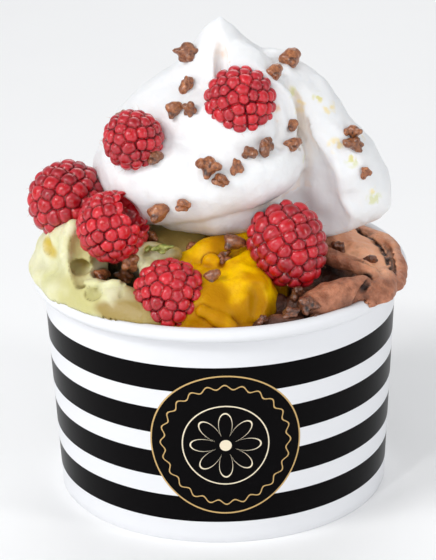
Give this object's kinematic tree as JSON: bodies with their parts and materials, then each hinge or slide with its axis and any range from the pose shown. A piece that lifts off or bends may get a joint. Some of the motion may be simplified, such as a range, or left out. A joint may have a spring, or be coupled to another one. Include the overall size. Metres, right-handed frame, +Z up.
{
  "type": "gelato cup",
  "caption": "Striped paper cup heaped with pistachio, mango and chocolate gelato, under a swirl of whipped cream with raspberries and crunch pieces.",
  "frame": {"origin": "centre of the cup's foot, on the surface that it stands on", "axes": "+Z up along the cup's axis, the badge on the cup faces -Y, +X to the right seen from the front"},
  "size_m": [0.0966, 0.0966, 0.1236],
  "materials": {
    "cup_paper": "coated paperboard, satin, printed with black bands and a round badge",
    "floor_paper": "plain coated paperboard",
    "pistachio_gelato": "smooth, moist, slightly translucent",
    "mango_gelato": "smooth, moist, slightly translucent",
    "chocolate_gelato": "icy and finely porous",
    "whipped_cream": "soft satin, translucent at its edges",
    "raspberry": "glossy, translucent drupelets"
  },
  "bodies": {
    "root": {"cup_wall": "cup_paper", "cup_floor": "floor_paper", "gelato_pistachio": "pistachio_gelato", "gelato_mango": "mango_gelato", "gelato_chocolate": "chocolate_gelato", "whipped_cream": "whipped_cream", "raspberry_1": "raspberry", "raspberry_2": "raspberry", "raspberry_3": "raspberry", "raspberry_4": "raspberry", "raspberry_5": "raspberry", "raspberry_6": "raspberry"}
  },
  "joints": []
}
